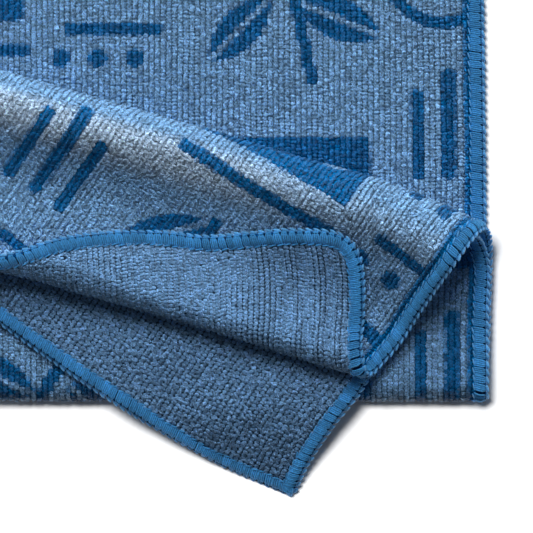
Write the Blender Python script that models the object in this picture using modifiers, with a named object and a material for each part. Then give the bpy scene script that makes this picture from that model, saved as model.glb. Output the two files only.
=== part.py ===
# Microfibre cleaning cloth: one square of terry knit, folded back and forth into four layers.
# At the back right corner the two upper layers are turned over to the front together, and the
# tip of the layer that comes to lie on top is turned back again.
#
# Frame: X along the folded strip, Y from the front fold to the back, Z up.
# The origin is on the table, under the middle of the folded cloth.
# Sizes are in millimetres and become metres when the mesh is made.

import bmesh
import bpy
import numpy as np
from math import cos, pi, radians, sin
from mathutils import Vector

MM = 0.001

# ---- driving dimensions ----
CLOTH_SIDE = 400.0        # the flat cloth is a square
THICKNESS = 1.2
LAYER_PITCH = 1.8         # from one layer to the next, middle to middle
FOLDED_DEPTH = 100.0      # front fold to back fold
INNER_FOLD_INSET = 3.0    # how far the inner front fold stays behind the outer one
TOP_LAYER_SHORT = 1.45    # the uppermost layer ends this much before an even share
BOX_MIDDLE = (-199.92, 44.45)   # middle of the folded cloth, seen from the right front corner

# The turned corner. "along" is measured on the crest from the right hem, "lift_line" is where
# the layers leave the stack, "radius" is the inner layer's, "descent" the slope behind it.
CREST_ANGLE = 17.2        # degrees between the crest and the front fold
CREST_COLUMNS = ("along", "lift_line", "radius", "descent")
CREST_ROWS = (
    (-12, 23.0, 6.0, 28),
    (8, 23.6, 5.5, 27),
    (16, 25.6, 4.8, 25),
    (28, 27.7, 3.9, 21),
    (50, 28.4, 3.0, 17),
    (110, 27.7, 2.6, 15),
    (240, 27.4, 2.2, 13),
)
CREST_LANDING = 16.0      # radius with which the turned layer comes to lie flat

# The tip that is turned back over the first turn.
TIP_ANGLE = 16.0
TIP_FOLD_POINT = (-26.8, 9.3)
TIP_COLUMNS = ("along", "shift", "radius", "descent")   # shift: how far back the fold line bends
TIP_ROWS = (
    (-20, -0.2, 2.0, 12),
    (0, -0.6, 2.1, 12),
    (12, -0.4, 2.1, 12),
    (30, 0.1, 2.2, 12),
    (50, 0.6, 2.8, 13),
    (60, 1.3, 3.4, 15),
    (70, 1.5, 4.0, 15),
    (85, 1.2, 4.1, 15),
    (140, 0.4, 4.0, 15),
)
TIP_LANDING = 14.0
TIP_LOFT = 2.4            # the tip lies this far over the layer beneath, middle to middle
TIP_CUTS_AT = 40.0        # where along the crest the cuts for the tip's fold are laid out

# Droop of the lower turned corner over the front fold.
DROOP_START = 4.0
DROOP_RADIUS = 62.0
DROOP_CUTS_AT = 35.0
DROOP_CUTS = 3

# How far the hems lie outside the true square.
HEM_COLUMNS = ("at", "out")
RIGHT_HEM = (
    (0, 0.6), (6, -0.6), (15, -1.0), (24, -0.4), (40, 0.0), (68, 0.2), (75, 0.5), (82, 0.3),
    (98, 0.3), (150, -0.3), (200, -0.8), (250, -0.3), (296, 0.2), (328, 0.9), (348, 0.9),
    (355, 1.2), (364, 2.0), (371, 1.3), (379, 0.2), (386, 1.0), (393, 1.2), (400, 0.0),
)
LEFT_HEM = ((0, 0.8), (100, 0.2), (150, -0.4), (250, 0.5), (330, -0.8), (400, -0.2))
TOP_BACK_HEM = ((0, 0.9), (5, 1.5), (10, 1.9), (25, 2.2), (45, 1.9), (60, 1.2), (75, 0.3),
                (110, 0.0), (400, -0.8))
INNER_BACK_HEM = ((0, 1.2), (5, 1.8), (13, 1.3), (22, 0.0), (30, -0.8), (37, 0.2), (50, 0.6),
                  (57, -0.2), (65, -1.9), (80, -3.0), (110, -2.0), (160, 0.0), (220, 0.0),
                  (400, -3.4))
HEM_FADE = 45.0           # how far into the cloth a hem's shift reaches
SHARP_CORNER = 1.5
SOFT_CORNER = 5.5

# Slow waves in the lie of the upper layers.
WAVE_COLUMNS = ("length", "heading", "height", "phase")
WAVE_ROWS = (
    (92.0, 20.0, 0.22, 0.4),
    (61.0, 105.0, 0.14, 1.9),
    (47.0, 64.0, 0.10, 4.1),
)
WAVE_FLOOR = 1.3          # the layer on the table stays flat up to here
WAVE_FULL = 9.0

# Mesh steps.
CELL_ALONG = 16.0
CELLS_ACROSS = 6
OUTER_FOLD_STEPS = 8
INNER_FOLD_STEPS = 4
CREST_STEP = 1.3
SLOPE_STEP = 3.0
TIP_STEP = 1.1
DROOP_STEP = 7.0
MERGE_DISTANCE = 0.6
CUT_TOLERANCE = 0.01

CLOTH_BLUE = (0.14, 0.29, 0.52, 1)
ROUGHNESS = 0.95

# ---- levels and lengths that follow ----
HALF = THICKNESS / 2
FLOOR_LEVEL, SECOND_LEVEL, THIRD_LEVEL, FOURTH_LEVEL = (
    HALF + LAYER_PITCH * layer for layer in range(4))
TURNED_LEVEL = FOURTH_LEVEL + 2 * LAYER_PITCH      # the outer layer once it is turned over

OUTER_FOLD = (FOURTH_LEVEL - FLOOR_LEVEL) / 2      # fold radii
INNER_FOLD = LAYER_PITCH / 2
FRONT = OUTER_FOLD + HALF                          # where the flat layers end in front
INNER_FRONT = FRONT + INNER_FOLD_INSET
BACK = FOLDED_DEPTH - INNER_FOLD - HALF

BOTTOM_LENGTH = BACK - FRONT
SECOND_LENGTH = BACK - INNER_FRONT
UPPER_LENGTHS = (CLOTH_SIDE - BOTTOM_LENGTH - SECOND_LENGTH
                 - pi * OUTER_FOLD - 2 * pi * INNER_FOLD)
TOP_LENGTH = UPPER_LENGTHS / 2 - TOP_LAYER_SHORT

# Places along the cloth, from the top layer's back hem to the inner layer's back hem.
TOP_END = TOP_LENGTH
BOTTOM_START = TOP_END + pi * OUTER_FOLD
BOTTOM_END = BOTTOM_START + BOTTOM_LENGTH
SECOND_START = BOTTOM_END + pi * INNER_FOLD
SECOND_END = SECOND_START + SECOND_LENGTH
INNER_START = SECOND_END + pi * INNER_FOLD


def column(rows, columns, name):
    return np.array([row[columns.index(name)] for row in rows], float)


def smooth(rows, columns, name, places):
    """Read one column of a table between its rows, on a smooth curve."""
    xs = column(rows, columns, columns[0])
    ys = column(rows, columns, name)
    slopes = np.gradient(ys, xs)
    places = np.clip(places, xs[0], xs[-1])
    left = np.clip(np.searchsorted(xs, places) - 1, 0, len(xs) - 2)
    width = xs[left + 1] - xs[left]
    t = (places - xs[left]) / width
    return ((2 * t**3 - 3 * t**2 + 1) * ys[left] + (t**3 - 2 * t**2 + t) * width * slopes[left]
            + (3 * t**2 - 2 * t**3) * ys[left + 1] + (t**3 - t**2) * width * slopes[left + 1])


class FoldFrame:
    """A fold line in plan: 'along' runs left and back, 'over' runs across it to the back."""

    def __init__(self, angle, point=(0.0, 0.0)):
        self.along = np.array([-cos(radians(angle)), sin(radians(angle))])
        self.over = np.array([sin(radians(angle)), cos(radians(angle))])
        self.point = np.array(point)

    def read(self, x, y):
        dx, dy = x - self.point[0], y - self.point[1]
        return (dx * self.along[0] + dy * self.along[1], dx * self.over[0] + dy * self.over[1])

    def place(self, along, over):
        return (self.point[0] + along * self.along[0] + over * self.over[0],
                self.point[1] + along * self.along[1] + over * self.over[1])


CREST = FoldFrame(CREST_ANGLE)
TIP = FoldFrame(TIP_ANGLE, TIP_FOLD_POINT)


def slope_length(radius, descent, landing, drop_to):
    """Straight run between a loop's top and the arc that lands it 'drop_to' over its start."""
    top = radius * (1 + np.cos(descent))
    return (top - landing * (1 - np.cos(descent)) - drop_to) / np.sin(descent)


def loop(s, radius, descent, landing, drop_to):
    """Turn-over: an arc up and over, a slope down and an arc that lands it, by arc length."""
    arc = radius * (pi + descent)
    slope = slope_length(radius, descent, landing, drop_to)
    land = landing * descent
    on_arc = np.clip(s, 0, arc)
    on_slope = np.clip(s - arc, 0, slope)
    on_land = np.clip(s - arc - slope, 0, land)
    flat = np.maximum(s - arc - slope - land, 0)
    turn = descent - on_land / landing
    over = (np.minimum(s, 0) + radius * np.sin(on_arc / radius) - on_slope * np.cos(descent)
            - landing * (np.sin(descent) - np.sin(turn)) - flat)
    up = (radius * (1 - np.cos(on_arc / radius)) - on_slope * np.sin(descent)
          - landing * (np.cos(turn) - np.cos(descent)))
    return over, up, on_arc / radius - on_land / landing


def outer_loop(s, radius, descent, landing, drop_to, pitch):
    """The same turn-over for the layer outside it, one pitch away all round."""
    arc = (radius + pitch) * (pi + descent)
    slope = slope_length(radius, descent, landing, drop_to)
    land = landing * descent * (1 - pitch / landing)
    inner = (np.minimum(s, 0) + np.clip(s, 0, arc) / (1 + pitch / radius)
             + np.clip(s - arc, 0, slope)
             + np.clip(s - arc - slope, 0, land) / (1 - pitch / landing)
             + np.maximum(s - arc - slope - land, 0))
    over, up, turn = loop(inner, radius, descent, landing, drop_to)
    return over + pitch * np.sin(turn), up + pitch * (1 - np.cos(turn))


def slope_rise(over, radius, descent, landing, drop_to, pitch):
    """Height of the turned outer layer above its flat part, on the slope behind the crest."""
    landing_point = (-radius * np.sin(descent) - landing * np.sin(descent)
                     - slope_length(radius, descent, landing, drop_to) * np.cos(descent))
    bend = landing - pitch
    distance = over - landing_point
    on_bend = np.clip(distance, 0, bend * np.sin(descent))
    on_slope = np.maximum(distance - bend * np.sin(descent), 0)
    return bend - np.sqrt(bend**2 - on_bend**2) + on_slope * np.tan(descent)


def crest_values(along):
    return (smooth(CREST_ROWS, CREST_COLUMNS, "lift_line", along),
            smooth(CREST_ROWS, CREST_COLUMNS, "radius", along),
            np.radians(smooth(CREST_ROWS, CREST_COLUMNS, "descent", along)))


def top_layer(x, y):
    """Uppermost layer: its back right corner is turned to the front and droops there."""
    along, over = CREST.read(x, y)
    lift, radius, descent = crest_values(along)
    turned_over, up, _ = loop(over - lift, radius, descent, CREST_LANDING, LAYER_PITCH)
    px, py = CREST.place(along, lift + turned_over)
    pz = FOURTH_LEVEL + up
    past = np.where(over - lift > radius * pi, np.maximum(DROOP_START - py, 0), 0)
    bend = past / DROOP_RADIUS
    py = np.where(past > 0, DROOP_START - DROOP_RADIUS * np.sin(bend), py)
    return px, py, pz - DROOP_RADIUS * (1 - np.cos(bend))


def inner_layer(x, y):
    """Layer under it: turned over with it, outside it, and its tip turned back again."""
    along, over = CREST.read(x, y)
    lift, radius, descent = crest_values(along)
    turned_over, up = outer_loop(over - lift, radius, descent, CREST_LANDING, LAYER_PITCH,
                                 LAYER_PITCH)
    px, py = CREST.place(along, lift + turned_over)
    pz = THIRD_LEVEL + up

    tip_along, tip_over = TIP.read(px, py)
    shift = smooth(TIP_ROWS, TIP_COLUMNS, "shift", tip_along)
    beyond = (over - lift > (radius + LAYER_PITCH) * pi) & (tip_over < shift)
    tip_radius = smooth(TIP_ROWS, TIP_COLUMNS, "radius", tip_along)
    tip_descent = np.radians(smooth(TIP_ROWS, TIP_COLUMNS, "descent", tip_along))
    back_over, tip_up, _ = loop(np.maximum(shift - tip_over, 0), tip_radius, tip_descent,
                                TIP_LANDING, TIP_LOFT)
    tx, ty = TIP.place(tip_along, shift - back_over)
    under_along, under_over = CREST.read(tx, ty)
    lift, radius, descent = crest_values(under_along)
    rise = slope_rise(under_over - lift, radius, descent, CREST_LANDING, LAYER_PITCH,
                      LAYER_PITCH)
    return (np.where(beyond, tx, px), np.where(beyond, ty, py),
            np.where(beyond, TURNED_LEVEL + rise + tip_up, pz))


def round_corner(u, w, radius):
    """Move points near a corner so that the two hems meet on an arc."""
    s = np.clip(1 - u / radius, 0, 1)
    t = np.clip(1 - w / radius, 0, 1)
    inside = (s > 0) & (t > 0)
    return (np.where(inside, radius * (1 - s * np.sqrt(1 - t * t / 2)), u),
            np.where(inside, radius * (1 - t * np.sqrt(1 - s * s / 2)), w))


def fade(distance):
    t = np.clip(distance / HEM_FADE, 0, 1)
    return (1 - t)**2 * (1 + 2 * t)


def true_outline(u, v):
    """Shift the points of an exact square to the cloth's own, slightly uneven outline."""
    side = CLOTH_SIDE
    u, v = round_corner(u, v, SHARP_CORNER)
    u, w = round_corner(u, side - v, SOFT_CORNER)
    far, w = round_corner(side - u, w, SHARP_CORNER)
    far, v = round_corner(far, side - w, SHARP_CORNER)
    u = side - far
    right = smooth(RIGHT_HEM, HEM_COLUMNS, "out", v) * fade(u)
    left = smooth(LEFT_HEM, HEM_COLUMNS, "out", v) * fade(side - u)
    top = smooth(TOP_BACK_HEM, HEM_COLUMNS, "out", u) * fade(v)
    inner = smooth(INNER_BACK_HEM, HEM_COLUMNS, "out", u) * fade(side - v)
    return u - right + left, v - top + inner


def lie(x, y, z):
    """Slow waves, none at the table and full in the upper layers."""
    t = np.clip((z - WAVE_FLOOR) / (WAVE_FULL - WAVE_FLOOR), 0, 1)
    share = t * t * (3 - 2 * t)
    wave = np.zeros_like(z)
    for row in WAVE_ROWS:
        ripple = dict(zip(WAVE_COLUMNS, row))
        heading = radians(ripple["heading"])
        run = x * cos(heading) + y * sin(heading)
        wave += ripple["height"] * np.sin(2 * pi * run / ripple["length"] + ripple["phase"])
    return z + share * wave


def fold(u, v):
    """From a place on the flat cloth, u from the right hem and v along it, to the folded cloth."""
    u, v = true_outline(u, v)
    x = -u
    flat = np.zeros_like(u)
    outer_turn = (v - TOP_END) / OUTER_FOLD
    back_turn = (v - BOTTOM_END) / INNER_FOLD
    inner_turn = (v - SECOND_END) / INNER_FOLD
    stretches = (
        (v <= TOP_END, top_layer(x, FRONT + TOP_END - v)),
        (v <= BOTTOM_START, (x, FRONT - OUTER_FOLD * np.sin(outer_turn),
                             FLOOR_LEVEL + OUTER_FOLD * (1 + np.cos(outer_turn)))),
        (v <= BOTTOM_END, (x, FRONT + v - BOTTOM_START, flat + FLOOR_LEVEL)),
        (v <= SECOND_START, (x, BACK + INNER_FOLD * np.sin(back_turn),
                             FLOOR_LEVEL + INNER_FOLD * (1 - np.cos(back_turn)))),
        (v <= SECOND_END, (x, BACK - (v - SECOND_START), flat + SECOND_LEVEL)),
        (v <= INNER_START, (x, INNER_FRONT - INNER_FOLD * np.sin(inner_turn),
                            SECOND_LEVEL + INNER_FOLD * (1 - np.cos(inner_turn)))),
        (v > INNER_START, inner_layer(x, INNER_FRONT + v - INNER_START)),
    )
    places = [stretch for stretch, _ in stretches]
    x, y, z = (np.select(places, [point[axis] for _, point in stretches]) for axis in range(3))
    return x, y, lie(x, y, z)


def cut(bm, point, normal, low=0.0, high=CLOTH_SIDE):
    """Cut the flat pattern along a line, only where v lies between low and high."""
    faces = [f for f in bm.faces if low < f.calc_center_median().y < high]
    edges = {edge for face in faces for edge in face.edges}
    verts = {vert for face in faces for vert in face.verts}
    bmesh.ops.bisect_plane(bm, geom=list(verts) + list(edges) + faces, dist=CUT_TOLERANCE,
                           plane_co=(point[0], point[1], 0), plane_no=(normal[0], normal[1], 0))


def stations(start, stop, step):
    count = max(1, round((stop - start) / step))
    return [start + (stop - start) * i / count for i in range(count + 1)]


def panel_to_flat(x, y, top):
    """Plan place on an unturned layer, as u and v on the flat cloth."""
    return (-x, FRONT + TOP_END - y) if top else (-x, y - INNER_FRONT + INNER_START)


def cut_across_crest(bm, crossings, top):
    """Cuts parallel to the crest at the given distances over it."""
    low, high = (0, TOP_END) if top else (INNER_START, CLOTH_SIDE)
    sign = -1 if top else 1
    normal = (-CREST.over[0], sign * CREST.over[1])
    for over in crossings:
        cut(bm, panel_to_flat(*CREST.place(0, over), top), normal, low, high)


def mirrored_cut(bm, frame_point, frame_normal, travel, top):
    """Cut where a line in plan lies on the turned part of a layer."""
    low, high = (0, TOP_END) if top else (INNER_START, CLOTH_SIDE)
    along, over = CREST.read(*frame_point)
    x, y = CREST.place(along, travel - over)
    n_along = frame_normal @ CREST.along
    n_over = frame_normal @ CREST.over
    flat_normal = n_along * CREST.along - n_over * CREST.over
    sign = -1 if top else 1
    cut(bm, panel_to_flat(x, y, top), (-flat_normal[0], sign * flat_normal[1]), low, high)


def turned_travel(along, pitch):
    """Sum of a point's distances over the crest before and after it is turned."""
    lift, radius, descent = (float(value) for value in crest_values(np.array(along)))
    slope = slope_length(radius, descent, CREST_LANDING, LAYER_PITCH)
    lost = (radius * (pi + descent - sin(descent)) + slope * (1 - cos(descent))
            + CREST_LANDING * (descent - sin(descent)) + pitch * pi)
    return 2 * lift + lost


def flat_pattern():
    """The flat square, cut along every line that the folds need."""
    bm = bmesh.new()
    bmesh.ops.create_grid(bm, x_segments=1, y_segments=1, size=CLOTH_SIDE / 2)
    bmesh.ops.translate(bm, verts=bm.verts, vec=(CLOTH_SIDE / 2, CLOTH_SIDE / 2, 0))

    for u in stations(0, CLOTH_SIDE, CELL_ALONG)[1:-1]:
        cut(bm, (u, 0), (1, 0))
    folds = (
        (0, TOP_END, CELLS_ACROSS),
        (TOP_END, BOTTOM_START, OUTER_FOLD_STEPS),
        (BOTTOM_START, BOTTOM_END, CELLS_ACROSS),
        (BOTTOM_END, SECOND_START, INNER_FOLD_STEPS),
        (SECOND_START, SECOND_END, CELLS_ACROSS),
        (SECOND_END, INNER_START, INNER_FOLD_STEPS),
        (INNER_START, CLOTH_SIDE, CELLS_ACROSS),
    )
    for start, stop, steps in folds:
        for v in stations(start, stop, (stop - start) / steps)[:-1]:
            if v > 0:
                cut(bm, (0, v), (0, 1))

    first_lift = min(column(CREST_ROWS, CREST_COLUMNS, "lift_line")) - 1
    widest = max(column(CREST_ROWS, CREST_COLUMNS, "radius"))
    steepest = radians(max(column(CREST_ROWS, CREST_COLUMNS, "descent")))
    slope = slope_length(widest, steepest, CREST_LANDING, LAYER_PITCH)
    for top, radius in ((True, widest), (False, widest + LAYER_PITCH)):
        over_top = first_lift + radius * (pi + steepest)
        landed = over_top + slope + CREST_LANDING * steepest
        cut_across_crest(bm, stations(first_lift, over_top, CREST_STEP), top)
        cut_across_crest(bm, stations(over_top, landed, SLOPE_STEP)[1:], top)

    tip_travel = turned_travel(TIP_CUTS_AT, LAYER_PITCH)
    tip_loop = max(column(TIP_ROWS, TIP_COLUMNS, "radius")) * pi
    for beyond in stations(0, tip_loop, TIP_STEP):
        mirrored_cut(bm, TIP.place(0, -beyond), TIP.over, tip_travel, top=False)
    corner_travel = turned_travel(DROOP_CUTS_AT, 0)
    for beyond in stations(0, DROOP_CUTS * DROOP_STEP, DROOP_STEP):
        mirrored_cut(bm, (0, DROOP_START - beyond), np.array([0.0, 1.0]), corner_travel, top=True)

    bmesh.ops.remove_doubles(bm, verts=bm.verts, dist=MERGE_DISTANCE)
    bmesh.ops.triangulate(bm, faces=bm.faces)
    return bm


def cloth_material():
    material = bpy.data.materials.new("terry_knit_blue")
    material.use_nodes = True
    shader = material.node_tree.nodes["Principled BSDF"]
    shader.inputs["Base Color"].default_value = CLOTH_BLUE
    shader.inputs["Roughness"].default_value = ROUGHNESS
    shader.inputs["Metallic"].default_value = 0.0
    return material


def make_cloth(collection):
    bm = flat_pattern()
    bm.verts.ensure_lookup_table()
    u = np.array([vert.co.x for vert in bm.verts])
    v = np.array([vert.co.y for vert in bm.verts])
    x, y, z = fold(u, v)
    for vert, px, py, pz in zip(bm.verts, x, y, z):
        vert.co = Vector((px - BOX_MIDDLE[0], py - BOX_MIDDLE[1], pz)) * MM
    mesh = bpy.data.meshes.new("cloth")
    bm.to_mesh(mesh)
    bm.free()
    mesh.materials.append(cloth_material())
    cloth = bpy.data.objects.new("cloth", mesh)
    collection.objects.link(cloth)
    sheet = cloth.modifiers.new("cloth thickness", "SOLIDIFY")
    sheet.thickness = THICKNESS * MM
    sheet.offset = 0
    return cloth


def main():
    for old in list(bpy.data.objects):
        bpy.data.objects.remove(old, do_unlink=True)
    collection = bpy.data.collections.new("microfibre_cloth")
    bpy.context.scene.collection.children.link(collection)
    make_cloth(collection)


main()
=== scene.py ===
# Microfibre cleaning cloth: a square of terry knit, folded into a strip of four layers.
# One corner is turned over to the front and its tip turned back. Frame: X along the strip,
# Y from the front fold to the back, Z up. Sizes are in millimetres until a mesh is made.

import bpy
import numpy as np
from math import cos, pi, radians, sin
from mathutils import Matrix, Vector
from mathutils.bvhtree import BVHTree


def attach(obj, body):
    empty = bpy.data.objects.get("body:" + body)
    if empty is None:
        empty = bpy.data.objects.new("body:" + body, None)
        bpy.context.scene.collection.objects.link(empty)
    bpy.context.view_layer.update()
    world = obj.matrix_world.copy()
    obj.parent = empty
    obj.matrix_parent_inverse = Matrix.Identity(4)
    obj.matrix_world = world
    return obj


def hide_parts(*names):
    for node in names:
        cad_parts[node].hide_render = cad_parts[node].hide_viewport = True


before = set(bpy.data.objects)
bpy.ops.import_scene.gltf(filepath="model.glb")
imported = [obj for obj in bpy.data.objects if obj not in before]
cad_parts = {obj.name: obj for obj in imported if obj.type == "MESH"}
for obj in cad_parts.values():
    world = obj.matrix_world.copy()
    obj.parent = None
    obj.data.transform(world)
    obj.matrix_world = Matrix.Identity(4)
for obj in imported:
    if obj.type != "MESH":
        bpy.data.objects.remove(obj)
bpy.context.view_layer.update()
mm = 0.001
print("cloth: frame loaded")

# ---------- how the square is folded ----------
folding = {
    "side": 400.0,
    "thickness": 1.2,
    "layerPitch": 1.8,
    "depth": 100.0,              # front fold to back fold
    "innerFoldInset": 3.0,
    "topLayerShort": 1.45,
    "frontPress": 0.4,           # the pile at the front fold stands this far out
    "middle": (-199.92, 44.45),  # middle of the folded cloth, from its right front corner
    "crestAngle": 17.2,
    "crestLanding": 16.0,
    "tipAngle": 16.0,
    "tipPoint": (-26.8, 9.3),
    "tipLanding": 14.0,
    "tipLoft": 2.4,
    "droopStart": 4.0,
    "droopRadius": 62.0,
    "hemFade": 45.0,             # how far in a hem's unevenness reaches
    "sharpCorner": 1.5,
    "softCorner": 5.5,
    # distance from the right hem: lift line, radius of the inner layer, slope behind it
    "crest": ((-12, 23.0, 6.0, 28), (8, 23.6, 5.5, 27), (16, 25.6, 4.8, 25), (28, 27.7, 3.9, 21),
              (50, 28.4, 3.0, 17), (110, 27.7, 2.6, 15), (240, 27.4, 2.2, 13)),
    # along the tip's fold: how far back the fold bends, radius, slope behind it
    "tip": ((-20, -0.2, 2.0, 12), (0, -0.6, 2.1, 12), (12, -0.4, 2.1, 12), (30, 0.1, 2.2, 12),
            (50, 0.6, 2.8, 13), (60, 1.3, 3.4, 15), (70, 1.5, 4.0, 15), (85, 1.2, 4.1, 15),
            (140, 0.4, 4.0, 15)),
    # how far each hem lies outside the true square
    "rightHem": ((0, 0.6), (6, -0.6), (15, -1.0), (24, -0.5), (31, -0.9), (42, -1.3),
                 (60, -1.2), (69, -0.4), (75, 0.5),
                 (82, 0.3), (98, 0.3), (150, -0.3), (200, -0.8), (250, -0.3), (296, 0.2),
                 (328, 1.2), (348, 1.5), (355, 1.7), (364, 2.1), (371, 1.3), (379, 0.2),
                 (386, 1.0), (393, 1.2), (400, 0.0)),
    "leftHem": ((0, 0.8), (100, 0.2), (150, -0.4), (250, 0.5), (330, -0.8), (400, -0.2)),
    "topBackHem": ((0, 0.9), (5, 1.5), (10, 1.9), (25, 2.2), (45, 1.9), (60, 1.2), (75, 0.3),
                   (110, 0.0), (400, -0.8)),
    "innerBackHem": ((0, 1.2), (5, 1.8), (13, 1.3), (22, 0.0), (30, -0.8), (37, 0.2), (50, 0.6),
                     (57, -0.2), (65, -1.9), (80, -3.0), (110, -2.0), (160, 0.0), (220, 0.0),
                     (400, -3.4)),
    # slow waves in the lie of the upper layers: length, heading, height, phase
    # the turned corner comes down to the table past the strip: over which width, how far above
    # the table, how much its right hem keeps off it
    "settleWidth": 17.0,
    "settleTo": 0.9,
    "settleFrom": 0.4,
    "settleNear": 4.0,
    "waves": ((92.0, 20.0, 0.22, 0.4), (61.0, 105.0, 0.14, 1.9), (47.0, 64.0, 0.10, 4.1)),
    "waveFloor": 1.3,
    "waveFull": 9.0,
}
side, pitch = folding["side"], folding["layerPitch"]
half = folding["thickness"] / 2
level = [half + pitch * layer for layer in range(4)]
turnedLevel = level[3] + 2 * pitch
outerFold = (level[3] - level[0]) / 2
innerFold = pitch / 2
front = outerFold + half
innerFront = front + folding["innerFoldInset"]
back = folding["depth"] - innerFold - half
bottomLength = back - front
secondLength = back - innerFront
upperLengths = side - bottomLength - secondLength - pi * outerFold - 2 * pi * innerFold

# places along the cloth, from the top layer's back hem to the inner layer's back hem
topEnd = upperLengths / 2 - folding["topLayerShort"]
bottomStart = topEnd + pi * outerFold
bottomEnd = bottomStart + bottomLength
secondStart = bottomEnd + pi * innerFold
secondEnd = secondStart + secondLength
innerStart = secondEnd + pi * innerFold


def smoothRead(rows, columnIndex, places):
    xs = np.array([row[0] for row in rows], float)
    ys = np.array([row[columnIndex] for row in rows], float)
    slopes = np.gradient(ys, xs)
    places = np.clip(places, xs[0], xs[-1])
    left = np.clip(np.searchsorted(xs, places) - 1, 0, len(xs) - 2)
    width = xs[left + 1] - xs[left]
    t = (places - xs[left]) / width
    return ((2 * t**3 - 3 * t**2 + 1) * ys[left] + (t**3 - 2 * t**2 + t) * width * slopes[left]
            + (3 * t**2 - 2 * t**3) * ys[left + 1] + (t**3 - t**2) * width * slopes[left + 1])


def easeIn(distance, width):
    t = np.clip(distance / width, 0, 1)
    return t * t * (3 - 2 * t)


class FoldLine:
    # 'along' runs left and back, 'over' runs across it to the back
    def __init__(self, angle, point=(0.0, 0.0)):
        self.along = np.array([-cos(radians(angle)), sin(radians(angle))])
        self.over = np.array([sin(radians(angle)), cos(radians(angle))])
        self.point = np.array(point)

    def read(self, x, y):
        dx, dy = x - self.point[0], y - self.point[1]
        return dx * self.along[0] + dy * self.along[1], dx * self.over[0] + dy * self.over[1]

    def place(self, along, over):
        return (self.point[0] + along * self.along[0] + over * self.over[0],
                self.point[1] + along * self.along[1] + over * self.over[1])


crestLine = FoldLine(folding["crestAngle"])
tipLine = FoldLine(folding["tipAngle"], folding["tipPoint"])


def slopeLength(radius, descent, landing, dropTo):
    top = radius * (1 + np.cos(descent))
    return (top - landing * (1 - np.cos(descent)) - dropTo) / np.sin(descent)


def turnOver(s, radius, descent, landing, dropTo):
    # an arc up and over, a slope down, and an arc that lands it, by arc length
    arc = radius * (pi + descent)
    slope = slopeLength(radius, descent, landing, dropTo)
    land = landing * descent
    onArc = np.clip(s, 0, arc)
    onSlope = np.clip(s - arc, 0, slope)
    onLand = np.clip(s - arc - slope, 0, land)
    flat = np.maximum(s - arc - slope - land, 0)
    turn = descent - onLand / landing
    over = (np.minimum(s, 0) + radius * np.sin(onArc / radius) - onSlope * np.cos(descent)
            - landing * (np.sin(descent) - np.sin(turn)) - flat)
    up = (radius * (1 - np.cos(onArc / radius)) - onSlope * np.sin(descent)
          - landing * (np.cos(turn) - np.cos(descent)))
    return over, up, onArc / radius - onLand / landing


def outerTurnOver(s, radius, descent, landing):
    # the same turn for the layer outside it, one pitch away all round
    arc = (radius + pitch) * (pi + descent)
    slope = slopeLength(radius, descent, landing, pitch)
    land = landing * descent * (1 - pitch / landing)
    inner = (np.minimum(s, 0) + np.clip(s, 0, arc) / (1 + pitch / radius)
             + np.clip(s - arc, 0, slope)
             + np.clip(s - arc - slope, 0, land) / (1 - pitch / landing)
             + np.maximum(s - arc - slope - land, 0))
    over, up, turn = turnOver(inner, radius, descent, landing, pitch)
    return over + pitch * np.sin(turn), up + pitch * (1 - np.cos(turn))


def slopeRise(over, radius, descent, landing):
    landingPoint = (-radius * np.sin(descent) - landing * np.sin(descent)
                    - slopeLength(radius, descent, landing, pitch) * np.cos(descent))
    bend = landing - pitch
    distance = over - landingPoint
    onBend = np.clip(distance, 0, bend * np.sin(descent))
    onSlope = np.maximum(distance - bend * np.sin(descent), 0)
    return bend - np.sqrt(bend**2 - onBend**2) + onSlope * np.tan(descent)


def crestValues(along):
    rows = folding["crest"]
    return (smoothRead(rows, 1, along), smoothRead(rows, 2, along),
            np.radians(smoothRead(rows, 3, along)))


def topLayer(x, y):
    along, over = crestLine.read(x, y)
    lift, radius, descent = crestValues(along)
    turnedOver, up, _ = turnOver(over - lift, radius, descent, folding["crestLanding"], pitch)
    px, py = crestLine.place(along, lift + turnedOver)
    pz = level[3] + up
    turned = over - lift > radius * pi
    bend = np.where(turned, np.maximum(folding["droopStart"] - py, 0), 0) / folding["droopRadius"]
    droopY = folding["droopStart"] - folding["droopRadius"] * np.sin(bend)
    py = np.where(bend > 0, droopY, py)
    return px, py, pz - folding["droopRadius"] * (1 - np.cos(bend)), over - lift - radius * pi


def innerLayer(x, y):
    along, over = crestLine.read(x, y)
    lift, radius, descent = crestValues(along)
    landing = folding["crestLanding"]
    turnedOver, up = outerTurnOver(over - lift, radius, descent, landing)
    px, py = crestLine.place(along, lift + turnedOver)
    pz = level[2] + up
    pastCrest = over - lift - (radius + pitch) * pi

    tipAlong, tipOver = tipLine.read(px, py)
    shift = smoothRead(folding["tip"], 1, tipAlong)
    beyond = (pastCrest > 0) & (tipOver < shift)
    tipRadius = smoothRead(folding["tip"], 2, tipAlong)
    tipDescent = np.radians(smoothRead(folding["tip"], 3, tipAlong))
    pastTip = np.where(beyond, shift - tipOver, 0)
    backOver, tipUp, _ = turnOver(pastTip, tipRadius, tipDescent,
                                  folding["tipLanding"], folding["tipLoft"])
    tx, ty = tipLine.place(tipAlong, shift - backOver)
    underAlong, underOver = crestLine.read(tx, ty)
    lift, radius, descent = crestValues(underAlong)
    rise = slopeRise(underOver - lift, radius, descent, landing)
    return (np.where(beyond, tx, px), np.where(beyond, ty, py),
            np.where(beyond, turnedLevel + rise + tipUp, pz), pastCrest,
            pastTip - tipRadius * pi)


def roundCorner(u, w, radius):
    s = np.clip(1 - u / radius, 0, 1)
    t = np.clip(1 - w / radius, 0, 1)
    inside = (s > 0) & (t > 0)
    return (np.where(inside, radius * (1 - s * np.sqrt(1 - t * t / 2)), u),
            np.where(inside, radius * (1 - t * np.sqrt(1 - s * s / 2)), w))


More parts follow.
